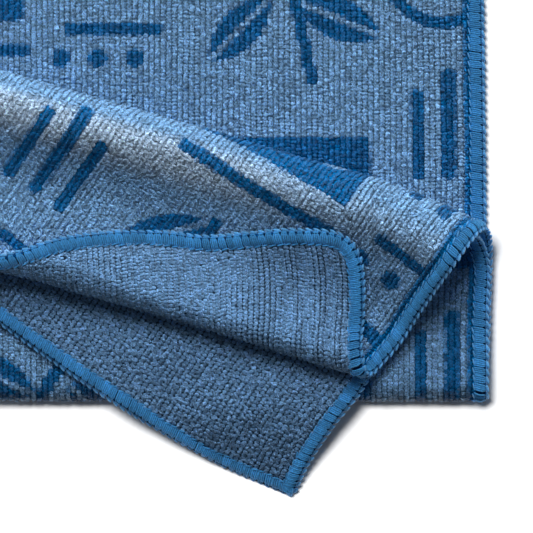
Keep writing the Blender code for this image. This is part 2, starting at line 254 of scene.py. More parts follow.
def trueOutline(u, v):
    sharp, soft, reach = folding["sharpCorner"], folding["softCorner"], folding["hemFade"]
    u, v = roundCorner(u, v, sharp)
    u, w = roundCorner(u, side - v, soft)
    far, w = roundCorner(side - u, w, sharp)
    far, v = roundCorner(far, side - w, sharp)
    u = side - far
    right = smoothRead(folding["rightHem"], 1, v) * (1 - easeIn(u, reach))
    left = smoothRead(folding["leftHem"], 1, v) * (1 - easeIn(side - u, reach))
    top = smoothRead(folding["topBackHem"], 1, u) * (1 - easeIn(v, reach))
    inner = smoothRead(folding["innerBackHem"], 1, u) * (1 - easeIn(side - v, reach))
    return u - right + left, v - top + inner


# soft creases: surface, middle x and y in the row frame, heading of the crease, half width, half
# length, height (below nought it is a trough)
creases = {
    "easeWidth": 4.0,            # creases fade out this near a fold
    # the crest's round top comes forward: distance from the right hem, height
    "crestRidge": ((-10, 0.2), (12, 0.5), (35, 1.1), (62, 0.95), (85, 1.35), (120, 1.1),
                   (190, 1.2), (245, 0.3)),
    "ridgeAt": 2.6,
    "ridgeWidth": 4.2,
    "rows": (
        ("slope", 130.0, 0.6, 40.0, 4.5, 7.0, -0.35),
        ("slope", 118.0, 5.0, 60.0, 5.0, 9.0, 0.25),
        ("slope", 160.0, -5.5, 62.0, 5.0, 10.0, -0.22),
        ("slope", 178.0, -9.0, 58.0, 4.0, 9.0, 0.2),
        ("tip", 163.5, -25.3, 88.0, 1.9, 7.5, -0.55),
        ("tip", 167.0, -26.5, 88.0, 2.0, 7.0, 0.35),
        ("tip", 147.0, -22.5, 70.0, 3.2, 8.0, -0.25),
        ("tip", 131.0, -20.0, 80.0, 3.6, 7.0, 0.25),
        ("corner", 140.0, -45.0, 35.0, 3.0, 12.0, -0.35),
        ("corner", 150.0, -49.0, 35.0, 3.0, 10.0, 0.3),
        ("corner", 132.0, -36.0, 15.0, 3.0, 12.0, 0.3),
        ("behind", 166.0, 13.0, 95.0, 3.0, 14.0, -0.25),
        ("behind", 182.0, 10.0, 88.0, 3.0, 14.0, 0.2),
        ("behind", 140.0, 20.0, 92.0, 3.5, 14.0, 0.2),
    ),
}


def fold(u, v):
    # from a place on the flat cloth, u from the right hem and v along it, to the folded cloth
    u, v = trueOutline(np.asarray(u, float), np.asarray(v, float))
    x = -u
    flat = np.zeros_like(u)
    never = flat - 1.0
    outerTurn = (v - topEnd) / outerFold
    backTurn = (v - bottomEnd) / innerFold
    innerTurn = (v - secondEnd) / innerFold
    top = topLayer(x, front + topEnd - v)
    inner = innerLayer(x, innerFront + v - innerStart)
    stretches = (
        (v <= topEnd, top[:3]),
        (v <= bottomStart, (x, front - (outerFold - folding["frontPress"]) * np.sin(outerTurn),
                            level[0] + outerFold * (1 + np.cos(outerTurn)))),
        (v <= bottomEnd, (x, front + v - bottomStart, flat + level[0])),
        (v <= secondStart, (x, back + innerFold * np.sin(backTurn),
                            level[0] + innerFold * (1 - np.cos(backTurn)))),
        (v <= secondEnd, (x, back - (v - secondStart), flat + level[1])),
        (v <= innerStart, (x, innerFront - innerFold * np.sin(innerTurn),
                           level[1] + innerFold * (1 - np.cos(innerTurn)))),
        (v > innerStart, inner[:3]),
    )
    places = [place for place, _ in stretches]
    x, y, z = (np.select(places, [point[axis] for _, point in stretches]) for axis in range(3))

    share = easeIn(z - folding["waveFloor"], folding["waveFull"] - folding["waveFloor"])
    for length, heading, height, phase in folding["waves"]:
        run = x * cos(radians(heading)) + y * sin(radians(heading))
        z = z + share * height * np.sin(2 * pi * run / length + phase)
    x = x - folding["middle"][0]
    y = y - folding["middle"][1]

    near = creases["easeWidth"]
    onTop, onInner = v <= topEnd, v > innerStart
    along = crestLine.read(x + folding["middle"][0], y + folding["middle"][1])[0]
    ridge = smoothRead(creases["crestRidge"], 1, along) * np.exp(
        -((inner[3] - creases["ridgeAt"]) / creases["ridgeWidth"])**2)
    z = z + np.where(onInner, ridge, 0)
    surfaces = {
        "corner": easeIn(np.where(onTop, top[3], never), near),
        "slope": easeIn(np.where(onInner, inner[3], never), near)
        * (1 - easeIn(np.where(onInner, inner[4] + 3 * near, never), near)),
        "tip": easeIn(np.where(onInner, inner[4], never), near),
        "behind": np.where((v > secondStart) & (v < secondEnd), 1.0, 0.0),
    }
    for surface, cx, cy, heading, halfWidth, halfLength, height in creases["rows"]:
        across = -(x - cx) * sin(radians(heading)) + (y - cy) * cos(radians(heading))
        run = (x - cx) * cos(radians(heading)) + (y - cy) * sin(radians(heading))
        z = z + surfaces[surface] * height * np.exp(-(across / halfWidth)**2
                                                    - (run / halfLength)**2)
    near = folding["settleNear"]
    past = -y - folding["middle"][1] - folding["settleFrom"]
    settled = easeIn(past, folding["settleWidth"]) * (near + u) / (near + u + v)
    settled = np.where(onTop & (top[3] > 0), settled, 0)
    z = z - settled * np.maximum(z - folding["settleTo"], 0)
    return np.stack([x, y, z], axis=-1)


def crestHighlightShare(u, v):
    # the share of the painted highlight along the crest's top, at a place on the flat cloth
    past = innerLayer(-u, innerFront + v - innerStart)[3]
    share = easeIn(past + 3.0, 3.0) * (1 - easeIn(past - fabric["crestHighlightFrom"],
                                                  fabric["crestHighlightTo"] - fabric["crestHighlightFrom"]))
    return np.where(v > innerStart, share * (0.25 + 0.75 * easeIn(u - 8.0, 50.0)), 0)


def frameAt(u, v, step=0.15):
    # across the ribs, along them, and out of the printed side
    across = fold(u + step, v) - fold(u - step, v)
    along = fold(u, v + step) - fold(u, v - step)
    across = across / np.linalg.norm(across, axis=-1, keepdims=True)
    normal = np.cross(across, along)
    normal = normal / np.linalg.norm(normal, axis=-1, keepdims=True)
    return across, np.cross(normal, across), normal


# ---------- helpers ----------
def newObject(name, mesh):
    made = bpy.data.objects.new(name, mesh)
    bpy.context.scene.collection.objects.link(made)
    return made


def inOrder(mesh):
    # what the finishes read, in the same order in every run, and nothing else
    values = {}
    for name in ("crest highlight share", "lie", "light", "own shade"):
        attribute = mesh.attributes.get(name)
        if attribute is not None:
            key, wide = ("vector", 3) if attribute.data_type == "FLOAT_VECTOR" else ("value", 1)
            found = np.zeros(len(attribute.data) * wide, dtype=np.float32)
            attribute.data.foreach_get(key, found)
            values[name] = (attribute.data_type, attribute.domain, key, found)
    for name in ("turn", "flat place", "rib share", *values):
        attribute = mesh.attributes.get(name)
        if attribute is not None:
            mesh.attributes.remove(attribute)
    for name, (kind, domain, key, found) in values.items():
        mesh.attributes.new(name, kind, domain).data.foreach_set(key, found)


def applied(made, name):
    # the modifiers' result as a plain mesh, in an object of its own
    evaluated = made.evaluated_get(bpy.context.evaluated_depsgraph_get())
    mesh = bpy.data.meshes.new_from_object(evaluated)
    source = made.data
    bpy.data.objects.remove(made, do_unlink=True)
    bpy.data.meshes.remove(source)
    mesh.name = name
    inOrder(mesh)
    return newObject(name, mesh)


def addNode(tree, kind, settings=None, **sockets):
    node = tree.nodes.new(kind)
    for key, value in (settings or {}).items():
        setattr(node, key, value)
    for key, value in sockets.items():
        socket = node.inputs[int(key[1:])] if key[0] == "i" and key[1:].isdigit() \
            else node.inputs[key.replace("_", " ")]
        if isinstance(value, bpy.types.NodeSocket):
            tree.links.new(value, socket)
        elif value is not None:
            socket.default_value = value
    return node


def maths(tree, operation, a, b=None, c=None, clamp=False):
    node = addNode(tree, "ShaderNodeMath", {"operation": operation, "use_clamp": clamp},
                   i0=a, i1=b, i2=c)
    return node.outputs[0]


def vectorMaths(tree, operation, a, b=None, result=0):
    return addNode(tree, "ShaderNodeVectorMath", {"operation": operation},
                   i0=a, i1=b).outputs[result]


def ramp(tree, value, low, high, toLow=0.0, toHigh=1.0):
    node = addNode(tree, "ShaderNodeMapRange", {"interpolation_type": "SMOOTHSTEP"},
                   i0=value, i1=low, i2=high, i3=toLow, i4=toHigh)
    return node.outputs[0]


def mixColour(tree, share, a, b, blend="MIX"):
    node = tree.nodes.new("ShaderNodeMix")
    node.data_type = "RGBA"
    node.blend_type = blend
    for index, value in ((0, share), (6, a), (7, b)):
        if isinstance(value, bpy.types.NodeSocket):
            tree.links.new(value, node.inputs[index])
        else:
            node.inputs[index].default_value = value
    return node.outputs[2]


# ---------- print: leaves, rings and bars, in a half-drop repeat ----------
printing = {
    "tile": (66.0, 78.0),
    "start": (7.0, 31.0),
    "snap": 0.75,                # how far the print's edge follows the stitches
    "wale": 1.07,
    "course": 0.665,
    # shape, place in the tile, turn, size (disc and ring: radius, width; leaf: length, width)
    "shapes": (
        ("ring", 15.0, 17.0, 0, 12.0, 2.4),
        ("leaf", 15.0, 17.0, 45, 16.0, 6.5),
        ("leaf", 15.0, 17.0, -45, 16.0, 6.5),
        ("bar", 44.0, 21.0, 78, 38.0, 2.3),
        ("leaf", 35.0, 10.0, 24, 19.0, 8.0),
        ("leaf", 55.0, 11.0, -48, 19.0, 8.0),
        ("leaf", 35.0, 27.0, 22, 18.0, 8.0),
        ("leaf", 54.0, 29.0, -46, 17.0, 7.5),
        ("bar", 8.0, 49.0, 0, 2.6, 17.0),
        ("bar", 14.0, 47.0, 0, 2.6, 21.0),
        ("bar", 20.0, 49.0, 0, 2.6, 17.0),
        ("block", 45.0, 58.0, 0, 32.0, 17.0),
        ("hole", 36.0, 58.0, 0, 2.7, 0),
        ("hole", 45.0, 58.0, 0, 2.7, 0),
        ("hole", 54.0, 58.0, 0, 2.7, 0),
        ("bar", 12.0, 68.0, 90, 2.3, 19.0),
        ("disc", 8.0, 73.5, 0, 1.8, 0),
        ("disc", 15.0, 73.5, 0, 1.8, 0),
        ("disc", 22.0, 73.5, 0, 1.8, 0),
        ("bar", 45.0, 72.0, 90, 2.3, 34.0),
    ),
}


def makePrintGroup():
    tree = bpy.data.node_groups.new("leaves and rings print", "ShaderNodeTree")
    tree.interface.new_socket("Place", in_out="INPUT", socket_type="NodeSocketVector")
    tree.interface.new_socket("Print", in_out="OUTPUT", socket_type="NodeSocketFloat")
    start = tree.nodes.new("NodeGroupInput")
    end = tree.nodes.new("NodeGroupOutput")
    wide, high = printing["tile"]
    begun = vectorMaths(tree, "ADD", start.outputs[0], (*printing["start"], 0))
    place = addNode(tree, "ShaderNodeSeparateXYZ", i0=begun)
    stripe = maths(tree, "FLOOR", maths(tree, "DIVIDE", place.outputs[0], wide))
    odd = maths(tree, "MODULO", stripe, 2.0)
    x = maths(tree, "WRAP", place.outputs[0], wide, 0.0)
    y = maths(tree, "WRAP", maths(tree, "MULTIPLY_ADD", odd, high / 2, place.outputs[1]),
              high, 0.0)
    here = addNode(tree, "ShaderNodeCombineXYZ", i0=x, i1=y).outputs[0]
    marks, holes, islands = None, None, None
    for shape, cx, cy, turn, a, b in printing["shapes"]:
        local = vectorMaths(tree, "SUBTRACT", here, (cx, cy, 0))
        if turn:
            local = addNode(tree, "ShaderNodeVectorRotate", {"rotation_type": "Z_AXIS"},
                            Vector=local, Angle=radians(turn)).outputs[0]
        if shape in ("disc", "hole"):
            away = maths(tree, "SUBTRACT", vectorMaths(tree, "LENGTH", local, result=1), a)
        elif shape == "ring":
            away = maths(tree, "SUBTRACT", vectorMaths(tree, "LENGTH", local, result=1), a - b / 2)
            away = maths(tree, "SUBTRACT", maths(tree, "ABSOLUTE", away), b / 2)
        elif shape == "leaf":
            bow = (a * a / 4 - b * b / 4) / b
            radius = bow + b / 2
            sides = [vectorMaths(tree, "LENGTH", vectorMaths(tree, "ADD", local, (0, s * bow, 0)),
                                 result=1) for s in (-1, 1)]
            away = maths(tree, "SUBTRACT", maths(tree, "MAXIMUM", *sides), radius)
            rib = addNode(tree, "ShaderNodeSeparateXYZ",
                          i0=vectorMaths(tree, "ABSOLUTE", local)).outputs[1]
            away = maths(tree, "MAXIMUM", away, maths(tree, "SUBTRACT", 0.55, rib))
        else:
            corner = 1.2 if shape == "block" else min(a, b) * 0.35
            reach = vectorMaths(tree, "SUBTRACT", vectorMaths(tree, "ABSOLUTE", local),
                                (a / 2 - corner, b / 2 - corner, 1))
            away = vectorMaths(tree, "LENGTH", vectorMaths(tree, "MAXIMUM", reach, (0, 0, 0)),
                               result=1)
            away = maths(tree, "SUBTRACT", away, corner)
        if shape == "hole":
            holes = away if holes is None else maths(tree, "MINIMUM", holes, away)
        elif shape == "disc":
            islands = away if islands is None else maths(tree, "MINIMUM", islands, away)
        else:
            marks = away if marks is None else maths(tree, "MINIMUM", marks, away)
    marks = maths(tree, "MAXIMUM", marks, maths(tree, "MULTIPLY", holes, -1.0))
    marks = maths(tree, "MINIMUM", marks, islands)
    tree.links.new(ramp(tree, marks, 0.25, -0.25), end.inputs[0])
    return tree


printGroup = makePrintGroup()

# ---------- fabric finishes ----------
fabric = {
    "ground": (0.210, 0.445, 0.765, 1),
    "plain": (0.166, 0.356, 0.638, 1),
    "print": (0.0, 0.140, 0.40, 1),
    "hem": (0.068, 0.355, 0.75, 1),
    # painted highlight: the colour of the edge knots and the printed side's chain
    "hemHighlight": (0.13, 0.45, 0.88, 1),
    "needleStripe": (0.0, 0.17, 0.48, 1),
    # painted shadow: the sheet's colour under the hem yarn, dark where it shows between the stitches
    "hemShadow": (0.0, 0.045, 0.16, 1),
    "hemShadowTo": 2.5,
    "gapShade": (0.17, 0.33),                # painted shade: brightness left in the gaps between the stitches
    "stitchUneven": 0.30,
    "speckle": 3000.0,           # loops and fibres within a stitch, to a metre
    "speckleShare": 2.9,
    "crestHighlight": (1.25, 0.48, 0.16),  # painted highlight: how much lighter the colour is made along the crest's top
    "crestHighlightFrom": 3.0,
    "crestHighlightTo": 8.5,
    "hemWidth": 2.9,
    "stripeWidth": 1.1,
    "sheen": 0.08,
    "shine": 0.28,
    "lie": 0.62,
    "frontShade": (0.16, 0.45),         # painted shade: the colour made darker where the cloth falls to the front, away from the light
    "roughness": 0.45,
}


def flatPlace(tree):
    uv = addNode(tree, "ShaderNodeUVMap", {"uv_map": "flat"}).outputs[0]
    return vectorMaths(tree, "SCALE", uv), uv


def stitchPattern(tree, place):
    # rows of stitches: middle of the cell, height inside it and a number of its own
    parts = addNode(tree, "ShaderNodeSeparateXYZ", i0=place)
    wale = maths(tree, "DIVIDE", parts.outputs[0], printing["wale"])
    waleIndex = maths(tree, "FLOOR", wale)
    drift = addNode(tree, "ShaderNodeTexWhiteNoise", {"noise_dimensions": "1D"},
                    W=waleIndex).outputs[0]
    course = maths(tree, "ADD", maths(tree, "DIVIDE", parts.outputs[1], printing["course"]), drift)
    courseIndex = maths(tree, "FLOOR", course)
    cell = addNode(tree, "ShaderNodeCombineXYZ", i0=waleIndex, i1=courseIndex).outputs[0]
    own = addNode(tree, "ShaderNodeTexWhiteNoise", {"noise_dimensions": "2D"}, Vector=cell)
    acrossCell = maths(tree, "SUBTRACT", maths(tree, "FRACT", wale), 0.5)
    alongCell = maths(tree, "SUBTRACT", maths(tree, "FRACT", course), 0.5)
    bulge = maths(tree, "ADD", maths(tree, "POWER", maths(tree, "ABSOLUTE", acrossCell), 2.0),
                  maths(tree, "MULTIPLY", maths(tree, "POWER", maths(tree, "ABSOLUTE", alongCell),
                                                2.0), 0.8))
    height = ramp(tree, bulge, 0.34, 0.02)
    middle = addNode(
        tree, "ShaderNodeCombineXYZ",
        i0=maths(tree, "MULTIPLY", maths(tree, "ADD", waleIndex, 0.5), printing["wale"]),
        i1=maths(tree, "MULTIPLY",
                 maths(tree, "SUBTRACT", maths(tree, "ADD", courseIndex, 0.5), drift),
                 printing["course"])).outputs[0]
    return middle, height, own.outputs[0]


def shaderOf(tree, colour, roughness, bumpHeight, bumpDistance, bumpStrength, lie=0.0):
    # lie: how far the yarns' fibres stand off the cloth itself rather than off each stitch
    shader = tree.nodes["Principled BSDF"]
    tree.links.new(colour, shader.inputs["Base Color"])
    shader.inputs["Roughness"].default_value = roughness
    shader.inputs["Sheen Weight"].default_value = fabric["sheen"]
    shader.inputs["Sheen Roughness"].default_value = 0.5
    shader.inputs["Sheen Tint"].default_value = (0.75, 0.87, 1.0, 1)
    shader.inputs["Specular IOR Level"].default_value = fabric["shine"]
    bump = addNode(tree, "ShaderNodeBump", Strength=bumpStrength, Distance=bumpDistance,
                   Height=bumpHeight)
    if lie:
        own = addNode(tree, "ShaderNodeNewGeometry").outputs["Normal"]
        cloth = addNode(tree, "ShaderNodeAttribute", {"attribute_name": "lie"}).outputs[1]
        mixed = addNode(tree, "ShaderNodeMix", {"data_type": "VECTOR"})
        mixed.inputs[0].default_value = lie
        tree.links.new(own, mixed.inputs[4])
        tree.links.new(cloth, mixed.inputs[5])
        tree.links.new(vectorMaths(tree, "NORMALIZE", mixed.outputs[1]), bump.inputs["Normal"])
    tree.links.new(bump.outputs[0], shader.inputs["Normal"])


def fibreNoise(tree, scale, detail=3.0):
    coordinate = addNode(tree, "ShaderNodeTexCoord").outputs["Object"]
    return addNode(tree, "ShaderNodeTexNoise", Vector=coordinate, Scale=scale,
                   Detail=detail, Roughness=0.6).outputs[0]


def newMaterial(name):
    material = bpy.data.materials.new(name)
    material.use_nodes = True
    return material, material.node_tree


def withShade(tree, colour, shade):
    grey = addNode(tree, "ShaderNodeCombineXYZ", i0=shade, i1=shade, i2=shade).outputs[0]
    return mixColour(tree, 1.0, colour, grey, "MULTIPLY")


def paintCrestHighlight(tree, colour):
    # painted highlight: the colour made lighter along the crest's top, where the crest faces the
    # light
    share = addNode(tree, "ShaderNodeAttribute", {"attribute_name": "crest highlight share"}).outputs[2]
    more = addNode(tree, "ShaderNodeVectorMath", {"operation": "SCALE"}, i0=fabric["crestHighlight"],
                   Scale=share).outputs[0]
    return vectorMaths(tree, "MULTIPLY", colour, vectorMaths(tree, "ADD", more, (1, 1, 1)))


def paintedFrontShade(tree, normal, printed):
    # painted shade: darker as the surface turns to the front, away from the light
    lean = addNode(tree, "ShaderNodeSeparateXYZ", i0=normal).outputs[1]
    return maths(tree, "MULTIPLY_ADD", maths(tree, "MINIMUM", lean, 0.0), fabric["frontShade"][printed],
                 1.0)


def printedOver(tree, base, place):
    group = addNode(tree, "ShaderNodeGroup", {"node_tree": printGroup}, i0=place)
    return mixColour(tree, group.outputs[0], base, fabric["print"])


def hemStripeAndShadow(tree, colour, place, printed):
    parts = addNode(tree, "ShaderNodeSeparateXYZ", i0=place)
    edges = [maths(tree, "MINIMUM", socket, maths(tree, "SUBTRACT", side, socket))
             for socket in parts.outputs[:2]]
    edge = maths(tree, "MINIMUM", *edges)
    if printed:
        inside = fabric["hemWidth"] + fabric["stripeWidth"]
        stripe = ramp(tree, edge, inside + 0.25, inside - 0.25)
        colour = mixColour(tree, stripe, colour, fabric["needleStripe"])
    # painted shadow under the hem yarn, near the sheet's edge
    hemShadowShare = ramp(tree, edge, fabric["hemShadowTo"] + 0.1, fabric["hemShadowTo"] - 0.1)
    return mixColour(tree, hemShadowShare, colour, fabric["hemShadow"])


def makeSheetMaterial(name, base, printed):
    material, tree = newMaterial(name)
    scaled, uv = flatPlace(tree)
    scaled.node.inputs[3].default_value = 1000.0
    middle, height, own = stitchPattern(tree, scaled)
    snapped = addNode(tree, "ShaderNodeMix", {"data_type": "VECTOR"})
    snapped.inputs[0].default_value = printing["snap"]
    tree.links.new(scaled, snapped.inputs[4])
    tree.links.new(middle, snapped.inputs[5])
    colour = addNode(tree, "ShaderNodeRGB").outputs[0]
    colour.default_value = base
    if printed:
        colour = printedOver(tree, paintCrestHighlight(tree, colour), snapped.outputs[1])
    colour = hemStripeAndShadow(tree, colour, scaled, printed)
    uneven = fabric["stitchUneven"]
    # painted shade: the colour darkened in the low gaps between the stitches
    shade = maths(tree, "MULTIPLY", ramp(tree, height, 0.0, 0.75, fabric["gapShade"][printed], 1.0),
                  maths(tree, "MULTIPLY_ADD", own, 2 * uneven, 1 - uneven))
    normal = addNode(tree, "ShaderNodeNewGeometry").outputs["Normal"]
    # painted shade where the cloth falls to the front
    shade = maths(tree, "MULTIPLY", shade, paintedFrontShade(tree, normal, printed))
    colour = withShade(tree, colour, shade)
    relief = maths(tree, "ADD", maths(tree, "MULTIPLY", height, maths(tree, "ADD", own, 0.5)),
                   maths(tree, "MULTIPLY", fibreNoise(tree, 5200.0), 0.35))
    shaderOf(tree, colour, 0.8, relief, 0.0004, 0.8)
    tree.nodes["Principled BSDF"].inputs["Specular IOR Level"].default_value = 0.0
    return material


def makeStitchMaterial(name, base, printed):
    material, tree = newMaterial(name)
    scaled, uv = flatPlace(tree)
    scaled.node.inputs[3].default_value = 1000.0
    colour = addNode(tree, "ShaderNodeRGB").outputs[0]
    colour.default_value = base
    if printed:
        colour = printedOver(tree, paintCrestHighlight(tree, colour), scaled)
        colour = hemStripeAndShadow(tree, colour, scaled, True)
    own = addNode(tree, "ShaderNodeAttribute", {"attribute_name": "own shade"}).outputs[2]
    uneven = fabric["stitchUneven"]
    fibres = fibreNoise(tree, fabric["speckle"], 2.0)
    share = fabric["speckleShare"]
    shade = maths(tree, "MULTIPLY", maths(tree, "MULTIPLY_ADD", own, 2 * uneven, 1 - uneven),
                  maths(tree, "MAXIMUM", maths(tree, "MULTIPLY_ADD", fibres, share, 1 - share / 2),
                        0.15))
    lie = addNode(tree, "ShaderNodeAttribute", {"attribute_name": "lie"}).outputs[1]
    # painted shade where the cloth falls to the front
    shade = maths(tree, "MULTIPLY", shade, paintedFrontShade(tree, lie, printed))
    colour = withShade(tree, colour, shade)
    shaderOf(tree, colour, fabric["roughness"], fibres, 0.0004, 1.0, fabric["lie"])
    return material


def makeYarnMaterial():
    material, tree = newMaterial("hem yarn")
    own = addNode(tree, "ShaderNodeAttribute", {"attribute_name": "own shade"}).outputs[2]
    fibres = fibreNoise(tree, fabric["speckle"], 2.0)
    shade = maths(tree, "MULTIPLY", maths(tree, "MULTIPLY_ADD", own, 0.36, 0.82),
                  maths(tree, "MULTIPLY_ADD", fibres, 1.4, 0.3))
    # painted highlight: where the light attribute is one, the yarn takes the lighter colour
    light = addNode(tree, "ShaderNodeAttribute", {"attribute_name": "light"}).outputs[2]
    colour = mixColour(tree, light, fabric["hem"], fabric["hemHighlight"])
    colour = withShade(tree, colour, shade)
    shaderOf(tree, colour, 0.5, fibres, 0.00012, 0.6)
    tree.nodes["Principled BSDF"].inputs["Specular IOR Level"].default_value = 0.4
    return material


printedSheet = makeSheetMaterial("printed terry knit", fabric["ground"], True)
plainSheet = makeSheetMaterial("plain terry knit", fabric["plain"], False)
printedStitch = makeStitchMaterial("printed stitches", fabric["ground"], True)
plainStitch = makeStitchMaterial("plain terry stitches", fabric["plain"], False)
hemYarn = makeYarnMaterial()
print("cloth: finishes made")

# ---------- the sheet ----------
sheetSteps = {
    "inset": 0.6,                # the hem yarn goes round the edge and fills this
    "fine": 1.45,                # where the corner is turned
    "fineTo": 252.0,
    "coarse": 5.0,
    "hidden": 6.5,               # on the two layers that always lie flat
    "outerFold": 9,
    "innerFold": 7,
}


def spread(start, stop, step):
    return np.linspace(start, stop, max(2, round((stop - start) / step) + 1))


def makeSheet():
    steps = sheetSteps
    inset = steps["inset"]
    us = np.unique(np.concatenate([spread(inset, steps["fineTo"], steps["fine"]),
                                   spread(steps["fineTo"], side - inset, steps["coarse"])]))
    vs = np.unique(np.concatenate([
        spread(inset, topEnd, steps["fine"]),
        np.linspace(topEnd, bottomStart, steps["outerFold"] + 1),
        spread(bottomStart, bottomEnd, steps["hidden"]),
        np.linspace(bottomEnd, secondStart, steps["innerFold"] + 1),
        spread(secondStart, secondEnd, steps["hidden"] / 2),
        np.linspace(secondEnd, innerStart, steps["innerFold"] + 1),
        spread(innerStart, side - inset, steps["fine"])]).round(5))
    u, v = np.meshgrid(us, vs, indexing="ij")
    points = fold(u.ravel(), v.ravel()) * mm
    rows, columns = len(us), len(vs)
    index = np.arange(rows * columns).reshape(rows, columns)
    quads = np.stack([index[:-1, :-1], index[1:, :-1], index[1:, 1:], index[:-1, 1:]],
                     axis=-1).reshape(-1, 4)
    mesh = bpy.data.meshes.new("terry sheet")
    mesh.from_pydata(points.tolist(), [], quads.tolist())
    flat = np.stack([u.ravel(), v.ravel()], axis=-1) * mm
    layer = mesh.uv_layers.new(name="flat")
    layer.data.foreach_set("uv", flat[quads.ravel()].ravel().astype(np.float32))
    mesh.polygons.foreach_set("use_smooth", np.ones(len(quads), bool))
    # the share of the painted crest highlight, for the finish
    crestHighlight = mesh.attributes.new("crest highlight share", "FLOAT", "POINT")
    crestHighlight.data.foreach_set("value", crestHighlightShare(u.ravel(), v.ravel()).astype(np.float32))
    for material in (printedSheet, plainSheet):
        mesh.materials.append(material)
    sheet = newObject("terry_sheet", mesh)
    tree = BVHTree.FromPolygons(points.tolist(), quads.tolist())
    wall = sheet.modifiers.new("thickness", "SOLIDIFY")
    wall.thickness = folding["thickness"] * mm
    wall.offset = 0
    wall.material_offset = 1
    # the rim takes the printed finish and with it the painted shadow under the hem
    wall.material_offset_rim = 0
    return applied(sheet, "terry_sheet"), tree


terrySheet, sheetTree = makeSheet()
print("cloth: sheet made,", len(terrySheet.data.polygons), "faces")


# ---------- what is seen, and how a piece turns with the cloth ----------
def seenFrom(points, outward, directions, clear=0.25):
    # True where some direction leaves the cloth without meeting another layer
    seen = np.zeros(len(points), bool)
    for direction in directions:
        way = Vector(direction).normalized()
        facing = outward @ np.array(way) > 0.12
        for k in np.flatnonzero(facing & ~seen):
            start = Vector(points[k] * mm) + way * clear * mm
            seen[k] = sheetTree.ray_cast(start, way)[0] is None
    return seen


def turnsOf(xAxis, yAxis, zAxis):
    # Euler angles of the frames whose axes are given
    return np.stack([np.arctan2(yAxis[:, 2], zAxis[:, 2]),
                     -np.arcsin(np.clip(xAxis[:, 2], -1, 1)),
                     np.arctan2(xAxis[:, 1], xAxis[:, 0])], axis=-1)


def pointsObject(name, points, turns, flat, lie, shares=()):
    mesh = bpy.data.meshes.new(name)
    mesh.from_pydata((points * mm).tolist(), [], [])
    for key, values in (("turn", turns), ("flat place", flat), ("lie", lie)):
        attribute = mesh.attributes.new(key, "FLOAT_VECTOR", "POINT")
        attribute.data.foreach_set("vector", np.ascontiguousarray(values, np.float32).ravel())
    for key, values in shares:
        attribute = mesh.attributes.new(key, "FLOAT", "POINT")
        attribute.data.foreach_set("value", values.astype(np.float32))
    return newObject(name, mesh)


def newGeometryTree(name, inputs):
    tree = bpy.data.node_groups.new(name, "GeometryNodeTree")
    tree.interface.new_socket("Geometry", in_out="INPUT", socket_type="NodeSocketGeometry")
    for label, kind, value in inputs:
        socket = tree.interface.new_socket(label, in_out="INPUT", socket_type=kind)
        if value is not None:
            socket.default_value = value
    tree.interface.new_socket("Geometry", in_out="OUTPUT", socket_type="NodeSocketGeometry")
    return tree, tree.nodes.new("NodeGroupInput"), tree.nodes.new("NodeGroupOutput")


def setInputs(modifier, tree, values):
    for item in tree.interface.items_tree:
        if item.in_out == "INPUT" and item.name in values:
            modifier[item.identifier] = values[item.name]


def placedCopies(tree, start, instance, seed, lean, uneven, size):
    # instance on each point, turned with the cloth, a little uneven in size and lean
    turn = addNode(tree, "GeometryNodeInputNamedAttribute",
                   {"data_type": "FLOAT_VECTOR"}, Name="turn").outputs[0]
    back = vectorMaths(tree, "SCALE", lean)
    low = addNode(tree, "ShaderNodeVectorMath", {"operation": "SCALE"}, i0=(1, 1, 1), Scale=lean)
    tree.nodes.remove(back.node)
    less = addNode(tree, "ShaderNodeVectorMath", {"operation": "SCALE"}, i0=(-1, -1, -1),
                   Scale=lean)
    wobble = addNode(tree, "FunctionNodeRandomValue", {"data_type": "FLOAT_VECTOR"}, Seed=seed)
    tree.links.new(less.outputs[0], wobble.inputs[0])
    tree.links.new(low.outputs[0], wobble.inputs[1])
    turned = vectorMaths(tree, "ADD", turn, wobble.outputs[0])
    small = addNode(tree, "ShaderNodeVectorMath", {"operation": "SCALE"}, i0=(1, 1, 1),
                    Scale=maths(tree, "SUBTRACT", 1.0, uneven))
    large = addNode(tree, "ShaderNodeVectorMath", {"operation": "SCALE"}, i0=(1, 1, 1),
                    Scale=maths(tree, "ADD", 1.0, uneven))
    scale = addNode(tree, "FunctionNodeRandomValue", {"data_type": "FLOAT_VECTOR"},
                    Seed=maths(tree, "ADD", seed, 7.0))
    tree.links.new(small.outputs[0], scale.inputs[0])
    tree.links.new(large.outputs[0], scale.inputs[1])
    sized = vectorMaths(tree, "MULTIPLY", size, scale.outputs[0])
    shade = addNode(tree, "FunctionNodeRandomValue", {"data_type": "FLOAT"},
                    Seed=maths(tree, "ADD", seed, 13.0))
    marked = addNode(tree, "GeometryNodeStoreNamedAttribute",
                     {"data_type": "FLOAT", "domain": "POINT"}, Geometry=start,
                     Name="own shade")
    tree.links.new(shade.outputs[1], marked.inputs["Value"])
    placed = addNode(tree, "GeometryNodeInstanceOnPoints", Points=marked.outputs[0],
                     Instance=instance, Rotation=turned, Scale=sized)
    return addNode(tree, "GeometryNodeRealizeInstances", Geometry=placed.outputs[0]).outputs[0]


